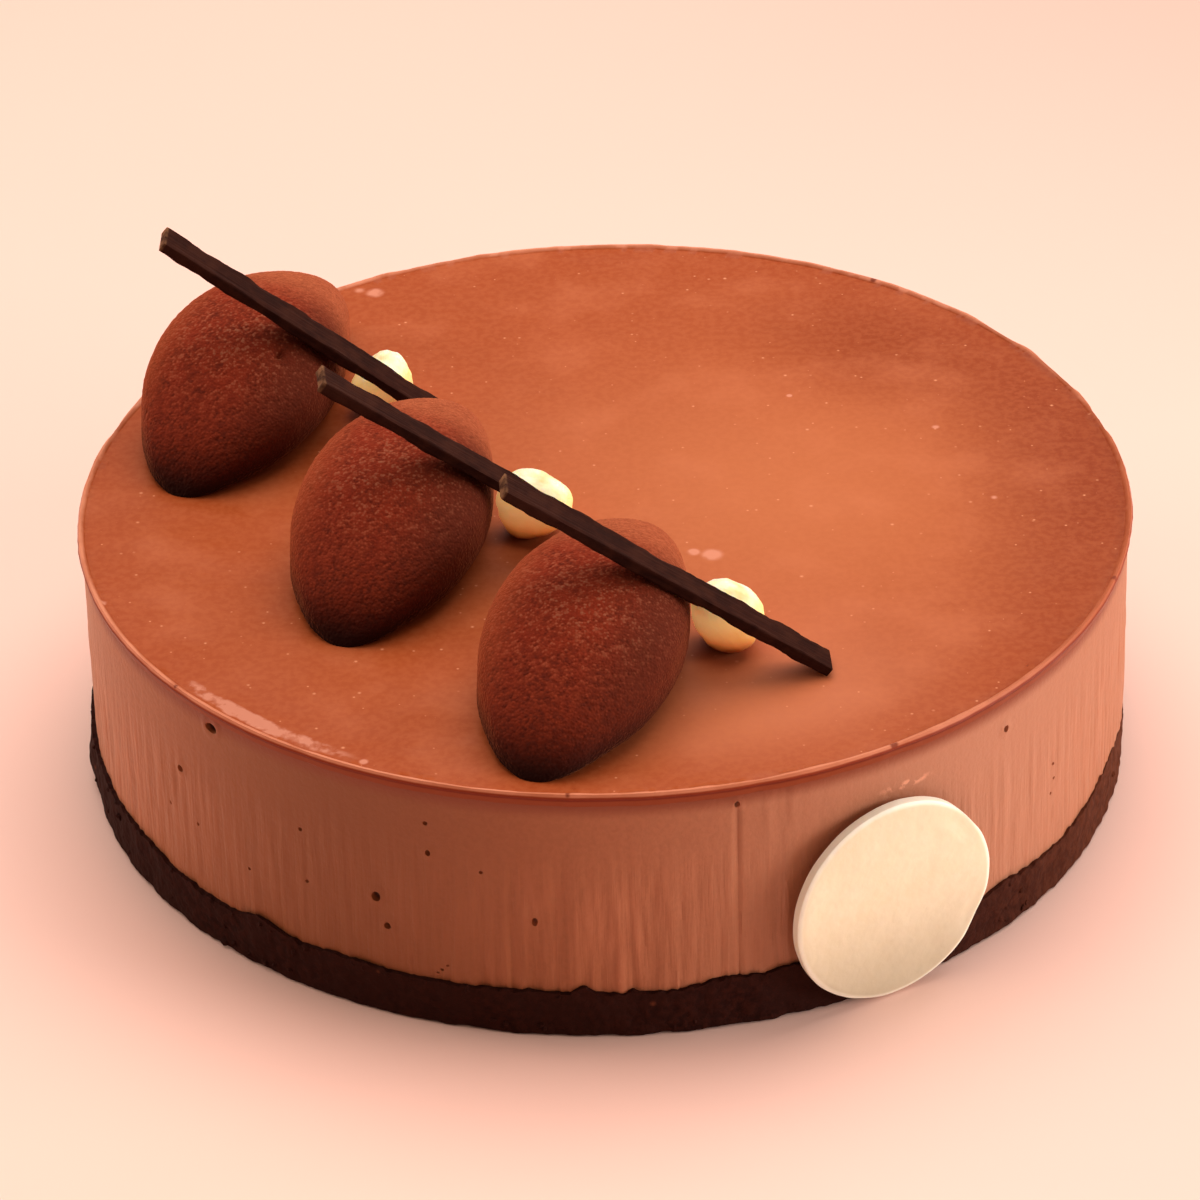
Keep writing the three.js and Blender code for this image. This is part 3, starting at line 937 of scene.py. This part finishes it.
def group_spot():
    """A soft round spot at a centre, with a radius in metres."""
    inputs = {"Place": (0, 0, 0), "Centre": (0, 0, 0), "Radius": 0.01}
    group, start, end = new_group("spot", inputs, "Mask")
    ends = {0: start.outputs["Place"], 1: start.outputs["Centre"]}
    away = add_node(group, "ShaderNodeVectorMath", ends, operation="DISTANCE")
    mask = spread(group, away.outputs["Value"], start.outputs["Radius"], 0.0)
    group.links.new(mask, end.inputs["Mask"])
    return group


CLOUDY = group_cloudy()
SPECKS = group_specks()
GRAINS = group_grains()
PATCH = group_patch()
SPOT = group_spot()


def place_on(tree):
    """The place on the object, in metres."""
    return add_node(tree, "ShaderNodeTexCoord").outputs["Object"]


def height_on(tree):
    return part_of(tree, place_on(tree), "Z")


def from_axis(tree, place):
    """The distance of a place from the upright axis, in metres."""
    level = stretched(tree, place, (1, 1, 0))
    return add_node(tree, "ShaderNodeVectorMath", {0: level}, operation="LENGTH").outputs["Value"]


def own_place(tree):
    """The place on a piece before it was turned and put on the cake."""
    return add_node(tree, "ShaderNodeAttribute", attribute_name="own_place").outputs["Vector"]


def stretched(tree, place, factors):
    """A place with its axes multiplied, so that a pattern is drawn out or pressed together."""
    inputs = {0: place, 1: factors}
    return add_node(tree, "ShaderNodeVectorMath", inputs, operation="MULTIPLY").outputs[0]


def clouds(tree, place, size, low=0.3, high=0.7):
    return use_group(tree, CLOUDY, Place=place, Size=size, Low=low, High=high)


def spot_on(tree, place, centre, radius):
    return use_group(tree, SPOT, Place=place, Centre=centre, Radius=radius)


def on_glaze(centre):
    """A point of the glaze's top, from its place in millimetres."""
    return (centre[0] * MM, centre[1] * MM, CAKE_TOP)


# ---------- materials


def moist_biscuit():
    material, tree, shader = new_material("moist_biscuit", Roughness=0.75, Specular_IOR_Level=0.05)
    place = place_on(tree)
    crumbs = clouds(tree, place, 1.4 * MM)
    tone = blend(tree, crumbs, colour(36, 14, 11), colour(56, 24, 17))
    tone = coat(tree, tone, clouds(tree, place, 14 * MM), 48, 22, 17)
    # Painted light: the biscuit paler and browner towards the right, where the light falls on it.
    painted_light_patch = use_group(tree, PATCH, Place=place, Azimuth=78.0, Reach=52.0)
    painted_light_tone = blend(tree, crumbs, colour(82, 40, 24), colour(104, 54, 34))
    tone = blend(tree, times(tree, painted_light_patch, 0.8), tone, painted_light_tone)
    specks = use_group(tree, SPECKS, Place=place, Cell=5 * MM, Speck=0.16, Share=0.35)
    tone = coat(tree, tone, specks, 110, 58, 38)
    feed(tree, shader.inputs["Base Color"], tone)
    feed(tree, shader.inputs["Normal"], bump(tree, crumbs, 0.12 * MM))
    return material


def set_cream():
    material, tree, shader = new_material(
        "set_cream", Roughness=0.5, Specular_IOR_Level=0.4, Subsurface_Weight=0.1,
        Subsurface_Radius=(3 * MM, 1 * MM, 0.5 * MM), Subsurface_Scale=1.0,
        Sheen_Weight=0.25, Sheen_Roughness=0.35, Sheen_Tint=colour(255, 200, 165),
    )
    place, height = place_on(tree), height_on(tree)
    low = spread(tree, height, 38 * MM, 26 * MM, 0.08, 1)
    streaks = clouds(tree, stretched(tree, place, (1, 1, 0.07)), 1.1 * MM)
    streaks = times(tree, streaks, low)
    broad = clouds(tree, stretched(tree, place, (1, 1, 0.3)), 9 * MM)
    grain = clouds(tree, place, 0.9 * MM)
    tone = blend(tree, streaks, colour(157, 87, 51), colour(182, 108, 72))
    tone = coat(tree, tone, spread(tree, broad, 0, 1, 0, 0.6), 160, 92, 55)
    tone = coat(tree, tone, spread(tree, grain, 0, 1, 0, 0.5), 174, 100, 62)
    # Painted shade: the side darker at the front left, where the least light falls.
    darker = use_group(tree, PATCH, Place=place, Azimuth=-31.0, Reach=37.0)
    tone = coat(tree, tone, times(tree, darker, 0.8), 128, 68, 29)
    # Painted light: the side paler towards the right, where the light falls on it.
    painted_light_patch = use_group(tree, PATCH, Place=place, Azimuth=39.0, Reach=52.0)
    tone = coat(tree, tone, times(tree, painted_light_patch, 0.85), 183, 124, 95)
    # A pale smear above the plaque where it was set in place, with painted highlights where it
    # catches the light.
    smear_and_highlight = use_group(
        tree, PATCH, Place=place, Azimuth=32.0, Reach=5.0, Across=height, Middle=38.4 * MM,
        Width=1.2 * MM,
    )
    ragged = clouds(tree, place, 2.2 * MM, 0.4, 0.6)
    smear_and_highlight = spread(tree, times(tree, smear_and_highlight, ragged), 0.1, 0.6)
    tone = coat(tree, tone, times(tree, smear_and_highlight, 0.9), 224, 156, 124)
    # Painted shade: the top of the side darker, under the glaze's lip.
    shade_under_lip = spread(tree, height, CREAM_TOP - 3 * MM, CREAM_TOP)
    tone = coat(tree, tone, shade_under_lip, 132, 58, 26)
    # Painted shade: dark insides of the air holes.
    radius = from_axis(tree, place)
    depth = spread(tree, radius, CREAM_RADIUS - 0.4 * MM, CREAM_RADIUS - 1 * MM)
    in_side = spread(tree, height, CREAM_TOP - 0.2 * MM, CREAM_TOP - 0.4 * MM)
    tone = coat(tree, tone, times(tree, depth, in_side), 74, 28, 16)
    feed(tree, shader.inputs["Base Color"], tone)
    relief = bump(tree, streaks, 0.09 * MM)
    feed(tree, shader.inputs["Normal"], bump(tree, grain, 0.03 * MM, below=relief))
    return material


def caramel_glaze():
    material, tree, shader = new_material("caramel_glaze", Specular_IOR_Level=0.1)
    place, height = place_on(tree), height_on(tree)
    radius = from_axis(tree, place)
    broad = clouds(tree, place, 30 * MM)
    soft = clouds(tree, place, 9 * MM)
    tone = blend(tree, broad, colour(159, 72, 32), colour(165, 77, 37))
    tone = coat(tree, tone, soft, 164, 76, 36)
    # Painted sheen: two broad pale spots on the middle and the front; then a darker spot at the back
    # right, painted shade.
    for centre, reach, strength, shade in (
        ((30, 0), 78, 1, colour(185, 102, 60)),
        ((28, -66), 48, 1, colour(190, 108, 72)),
        ((49, 54), 32, 0.9, colour(142, 58, 18)),
    ):
        spot = spot_on(tree, place, on_glaze(centre), reach * MM)
        tone = blend(tree, times(tree, spot, strength), tone, shade)
    # Painted shade: the glaze darker towards the back, the rim and the right, around the painted
    # sheen.
    shade_towards_back = spread(tree, part_of(tree, place, "Y"), 20 * MM, 88 * MM, 0, 0.5)
    tone = coat(tree, tone, shade_towards_back, 154, 66, 26)
    rim = spread(tree, radius, 72 * MM, 87 * MM, 0, 0.65)
    tone = coat(tree, tone, rim, 158, 68, 28)
    right_rim = use_group(
        tree, PATCH, Place=place, Azimuth=95.0, Reach=75.0, Across=radius, Middle=84 * MM,
        Width=34 * MM,
    )
    tone = coat(tree, tone, times(tree, right_rim, 0.85), 134, 52, 20)
    peach = clouds(tree, place, 16 * MM, 0.45, 0.8)
    tone = coat(tree, tone, times(tree, peach, 0.3), 202, 118, 80)
    fine = spread(tree, clouds(tree, place, 1.3 * MM), 0, 1, 0.0, 0.16)
    tone = coat(tree, tone, fine, 200, 116, 72)
    for cell, speck, share in ((3.2 * MM, 0.16, 0.7), (1.9 * MM, 0.2, 0.35)):
        specks = use_group(tree, SPECKS, Place=place, Cell=cell, Speck=speck, Share=share)
        tone = coat(tree, tone, specks, 218, 144, 106)
    # Painted reflection: a pale, glossier smear near the rim at the front left, where the glaze's
    # edge reflects the light.
    smear_and_highlight = use_group(
        tree, PATCH, Place=place, Azimuth=-41.0, Reach=17.0, Across=radius, Middle=87 * MM,
        Width=2.3 * MM,
    )
    ragged = clouds(tree, place, 3 * MM)
    smear_and_highlight = spread(tree, times(tree, smear_and_highlight, spread(tree, ragged, 0, 1, 0.3, 1)), 0.1, 0.35)
    tone = coat(tree, tone, times(tree, smear_and_highlight, 0.8), 208, 138, 114)
    # Painted highlights: pale spots where small drops on the glaze catch the light.
    for centre, size in GLAZE_HIGHLIGHTS:
        spot = spot_on(tree, place, on_glaze(centre), size * MM)
        share = spread(tree, times(tree, spot, spread(tree, ragged, 0, 1, 0.5, 1)), 0, 0.6, 0, 0.6)
        tone = coat(tree, tone, share, 226, 154, 128)
    # Painted highlight: a thin bright line on the crest of the lip, painted darker towards the
    # right.
    crest = times(
        tree,
        spread(tree, radius, GLAZE_RADIUS - 1.3 * MM, GLAZE_RADIUS - 0.7 * MM),
        spread(tree, height, CAKE_TOP - 0.15 * MM, CAKE_TOP + 0.15 * MM),
    )
    crest = times(tree, crest, spread(tree, soft, 0, 1, 0.65, 1))
    right = use_group(tree, PATCH, Place=place, Azimuth=80.0, Reach=60.0)
    crest_highlight_tone = blend(tree, right, colour(210, 132, 100), colour(168, 86, 52))
    tone = blend(tree, crest, tone, crest_highlight_tone)
    # Painted shade at small nicks that break the lip.
    for azimuth, size in RIM_NICKS:
        centre = around(azimuth, GLAZE_RADIUS - 0.5 * MM, CAKE_TOP + 0.2 * MM)
        nick = spot_on(tree, place, centre, size * MM)
        tone = coat(tree, tone, spread(tree, nick, 0, 0.6, 0, 0.8), 116, 42, 24)
    # Painted shade: the glaze's outer face below the crest darker.
    face = times(
        tree,
        spread(tree, radius, GLAZE_RADIUS - 0.4 * MM, GLAZE_RADIUS - 0.1 * MM),
        spread(tree, height, CAKE_TOP + 0.15 * MM, CAKE_TOP - 0.2 * MM),
    )
    tone = coat(tree, tone, face, 136, 54, 32)
    # Painted shade: a thin dark line at the lower edge of the glaze's side.
    shaded_lower_edge = spread(tree, height, CAKE_TOP - 0.2 * MM, CAKE_TOP - 0.5 * MM)
    tone = coat(tree, tone, shaded_lower_edge, 116, 42, 24)
    # Painted shade: the lower side of the glaze in the cream's shaded tone under the lip.
    shade_under_lip = spread(tree, height, CAKE_TOP - 0.7 * MM, CAKE_TOP - 1 * MM)
    tone = coat(tree, tone, shade_under_lip, 138, 64, 36)
    feed(tree, shader.inputs["Base Color"], tone)
    dull = times(tree, spread(tree, soft, 0, 1, 0.36, 0.42), spread(tree, smear_and_highlight, 0, 1, 1, 0.5))
    feed(tree, shader.inputs["Roughness"], dull)
    feed(tree, shader.inputs["Normal"], bump(tree, broad, 0.25 * MM))
    return material


def cocoa_velvet():
    material, tree, shader = new_material(
        "cocoa_velvet", Roughness=0.9, Specular_IOR_Level=0.1, Sheen_Weight=0.35,
        Sheen_Roughness=0.35, Sheen_Tint=colour(225, 130, 80),
    )
    place, own = place_on(tree), own_place(tree)
    along, across, up = (part_of(tree, own, axis) for axis in "XYZ")
    grain, grain_tone = use_group(tree, GRAINS, Place=place, Size=0.45 * MM)
    mottle = clouds(tree, place, 3 * MM)
    tone = blend(tree, grain_tone, colour(94, 28, 13), colour(150, 54, 27))
    tone = coat(tree, tone, spread(tree, mottle, 0, 1, 0, 0.5), 136, 42, 20)
    # Painted light: the left flank lighter, where light falls on it from the left.
    left = spread(tree, across, 6 * MM, 15 * MM, 0, 0.6)
    tone = coat(tree, tone, left, 146, 66, 34)
    # Painted shade: the right flank darker.
    right = spread(tree, across, -2 * MM, -14 * MM, 0, 0.85)
    tone = coat(tree, tone, right, 76, 28, 13)
    # Painted light: the tail lighter brown, where its back slope faces the light.
    lit_tail = spread(tree, along, 2 * MM, 14 * MM, 0, 0.8)
    lit_tail_tone = blend(tree, grain_tone, colour(138, 66, 38), colour(170, 90, 58))
    tone = blend(tree, lit_tail, tone, lit_tail_tone)
    # Painted shade: the tip darker.
    tip = spread(tree, along, -12 * MM, -30 * MM, 0, 0.6)
    shaded_tip_tone = blend(tree, grain_tone, colour(70, 22, 11), colour(104, 38, 20))
    tone = blend(tree, tip, tone, shaded_tip_tone)
    crown = spot_on(tree, own, (-8 * MM, 0, 20 * MM), 22 * MM)
    dust = spread(tree, grain_tone, 0.45, 1, 0, 0.8)
    tone = coat(tree, tone, times(tree, dust, crown), 148, 90, 66)
    # Painted shade: each quenelle darker low down, towards the glaze.
    painted_shade_low = spread(tree, up, 10 * MM, 1 * MM)
    tone = coat(tree, tone, painted_shade_low, 34, 10, 6)
    feed(tree, shader.inputs["Base Color"], tone)
    relief = bump(tree, mottle, 0.1 * MM)
    feed(tree, shader.inputs["Normal"], bump(tree, grain, 0.16 * MM, below=relief))
    return material


def dark_chocolate():
    material, tree, shader = new_material("dark_chocolate", Roughness=0.65, Specular_IOR_Level=0.04)
    own = own_place(tree)
    lines = clouds(tree, stretched(tree, own, (0.06, 1, 1)), 0.9 * MM)
    bloom = clouds(tree, own, 3 * MM, 0.35, 0.7)
    tone = blend(tree, lines, colour(32, 12, 8), colour(44, 17, 11))
    tone = coat(tree, tone, bloom, 50, 23, 15)
    at_end = spread(tree, part_of(tree, own, "X"), 0.6 * MM, 0.1 * MM)
    tone = coat(tree, tone, times(tree, at_end, bloom), 124, 86, 60)
    feed(tree, shader.inputs["Base Color"], tone)
    feed(tree, shader.inputs["Normal"], bump(tree, lines, 0.06 * MM))
    return material


def blanched_nut():
    """Pale above, with painted shade darker at the foot, and a faint warm glow between: painted
    light that the nut gives off, as where light passes through a real nut."""
    material, tree, shader = new_material(
        "blanched_nut", Roughness=0.45, Specular_IOR_Level=0.4, Subsurface_Weight=1.0,
        Subsurface_Radius=(8 * MM, 5 * MM, 2.4 * MM), Subsurface_Scale=1.0, Emission_Strength=0.34,
    )
    own, height = own_place(tree), height_on(tree)
    lines = clouds(tree, stretched(tree, own, (1, 1, 0.15)), 1.2 * MM)
    toasted = clouds(tree, own, 6 * MM, 0.5, 0.75)
    tone = blend(tree, lines, colour(255, 246, 214), colour(252, 236, 196))
    tone = coat(tree, tone, toasted, 240, 200, 140)
    # Painted light: the lower part warmer and more orange, as lit through the nut and from the glaze
    # below.
    below = spread(tree, height, CAKE_TOP + 10 * MM, CAKE_TOP + 7 * MM)
    tone = coat(tree, tone, below, 255, 212, 140)
    # Painted shade: the foot darker and browner.
    foot = spread(tree, height, CAKE_TOP + 5 * MM, CAKE_TOP + 0.3 * MM)
    tone = coat(tree, tone, foot, 176, 84, 36)
    feed(tree, shader.inputs["Base Color"], tone)
    # Painted light: the nut's lower part gives off a faint warm glow of its own, though it is no
    # lamp.
    lower = spread(tree, height, CAKE_TOP + 8 * MM, CAKE_TOP + 2 * MM)
    warm = blend(tree, lower, colour(255, 206, 134), colour(236, 130, 54))
    glow = blend(tree, times(tree, below, spread(tree, foot, 1, 0)), colour(0, 0, 0), warm)
    feed(tree, shader.inputs["Emission Color"], glow)
    feed(tree, shader.inputs["Normal"], bump(tree, lines, 0.08 * MM))
    return material


def white_chocolate():
    material, tree, shader = new_material(
        "white_chocolate", Roughness=0.42, Specular_IOR_Level=0.4, Subsurface_Weight=0.15,
        Subsurface_Radius=(2 * MM, 1.4 * MM, 0.8 * MM), Subsurface_Scale=1.0,
    )
    own = own_place(tree)
    broad = clouds(tree, own, 9 * MM)
    fine = clouds(tree, own, 1.6 * MM)
    tone = blend(tree, broad, colour(238, 224, 190), colour(246, 234, 204))
    tone = coat(tree, tone, fine, 241, 228, 197)
    # Painted shade: the lower part of the plaque darker.
    low = spread(tree, part_of(tree, own, "Y"), 4 * MM, -18 * MM, 0, 0.8)
    tone = coat(tree, tone, low, 192, 180, 154)
    # Painted highlight: the edge all round paler, where its shoulder catches the light.
    edge = spread(tree, from_axis(tree, own), PLAQUE_RADIUS - 1 * MM, PLAQUE_RADIUS - 0.2 * MM)
    tone = coat(tree, tone, edge, 255, 251, 232)
    feed(tree, shader.inputs["Base Color"], tone)
    relief = bump(tree, broad, 0.12 * MM)
    feed(tree, shader.inputs["Normal"], bump(tree, fine, 0.02 * MM, below=relief))
    return material


def pale_floor():
    material, tree, shader = new_material("pale_floor", Roughness=0.9, Specular_IOR_Level=0.1)
    place = place_on(tree)
    tone = blend(tree, clouds(tree, place, 0.4), colour(243, 204, 192), colour(246, 208, 196))
    # Painted shade: the floor darker and pinker towards the back.
    shade_towards_back = spread(tree, part_of(tree, place, "Y"), 0.0, 0.5)
    tone = coat(tree, tone, shade_towards_back, 240, 184, 170)
    # Painted light: the floor lighter and warmer in the cake's shadow at the front left, as if lit
    # by light bounced off the cake.
    painted_light_near_cake = spot_on(tree, place, (-0.05, -0.12, 0), 0.13)
    tone = coat(tree, tone, painted_light_near_cake, 255, 209, 194)
    # Painted shade: the back right of the floor darker and pinker.
    shaded_corner = spot_on(tree, place, (0.25, 0.4, 0), 0.36)
    tone = coat(tree, tone, shaded_corner, 238, 170, 158)
    feed(tree, shader.inputs["Base Color"], tone)
    return material


# ---------- camera, floor, light


def add_camera():
    """The camera at the photograph's viewing angle."""
    right = Vector((1, 0, 0))
    up = Vector((0, math.sin(CAMERA_DOWN), math.cos(CAMERA_DOWN)))
    ahead = Vector((0, math.cos(CAMERA_DOWN), -math.sin(CAMERA_DOWN)))
    x_axis = math.cos(CAMERA_ROLL) * right - math.sin(CAMERA_ROLL) * up
    y_axis = math.sin(CAMERA_ROLL) * right + math.cos(CAMERA_ROLL) * up
    turn = Matrix((x_axis, y_axis, -ahead)).transposed().to_4x4()
    data = bpy.data.cameras.new("camera")
    data.lens = CAMERA_LENS
    data.sensor_width = 36
    data.clip_start = 0.05
    data.clip_end = 20
    camera = bpy.data.objects.new("camera", data)
    camera.matrix_world = Matrix.Translation(CAMERA_PLACE) @ turn
    bpy.context.scene.collection.objects.link(camera)
    bpy.context.scene.camera = camera


def add_light(name, place, target, size, power, tint):
    data = bpy.data.lights.new(name, "AREA")
    data.shape = "RECTANGLE"
    data.size, data.size_y = size
    data.energy = power
    data.color = tint
    light = bpy.data.objects.new(name, data)
    light.location = place
    light.rotation_euler = (Vector(target) - Vector(place)).to_track_quat("-Z", "Y").to_euler()
    bpy.context.scene.collection.objects.link(light)


def add_studio():
    bpy.ops.mesh.primitive_plane_add(size=6)
    floor = bpy.context.object
    floor.name = "floor"
    floor.data.materials.append(pale_floor())
    world = bpy.data.worlds.new("studio")
    world.use_nodes = True
    sky = world.node_tree
    towards = add_node(sky, "ShaderNodeTexCoord").outputs["Generated"]
    side = add_node(
        sky, "ShaderNodeVectorMath", {0: towards, 1: (0.7, 0.5, 0.5)}, operation="DOT_PRODUCT"
    )
    light = spread(sky, side.outputs["Value"], -0.9, 0.9)
    tone = blend(sky, light, (0.26, 0.19, 0.15, 1), (0.56, 0.46, 0.38, 1))
    sky.links.new(tone, sky.nodes["Background"].inputs["Color"])
    bpy.context.scene.world = world
    add_light("key", (0.08, 0.66, 1.5), (0, 0, 0.03), (2, 1.4), 31, (1.0, 0.91, 0.86))
    add_light("right_fill", (1.25, -0.2, 0.28), (0, 0, 0.03), (0.8, 0.4), 12, (1.0, 0.95, 0.92))
    add_light("left_fill", (-1.2, 0.3, 0.4), (0, 0, 0.03), (0.6, 0.5), 5, (1.0, 0.86, 0.74))
    view = bpy.context.scene.view_settings
    view.view_transform = "Standard"
    view.look = "None"


# ---------- put together

add_camera()
add_studio()

finish_piece(model_biscuit_base(), "biscuit_base", moist_biscuit())
finish_piece(model_cream(), "hazelnut_cream", set_cream())
finish_piece(model_glaze(), "glaze", caramel_glaze())

velvet, chocolate, nut_skin = cocoa_velvet(), dark_chocolate(), blanched_nut()
for count, topping in enumerate(TOPPINGS, start=1):
    stick = model_stick(count, topping["stick"])
    quenelle = model_quenelle(count, topping["quenelle"], stick)
    nut = model_nut(count, topping["nut"])
    finish_piece(quenelle, f"quenelle_{count}", velvet, crease=60)
    finish_piece(stick, f"chocolate_stick_{count}", chocolate)
    finish_piece(nut, f"hazelnut_{count}", nut_skin, crease=60)

finish_piece(model_plaque(), "white_plaque", white_chocolate())
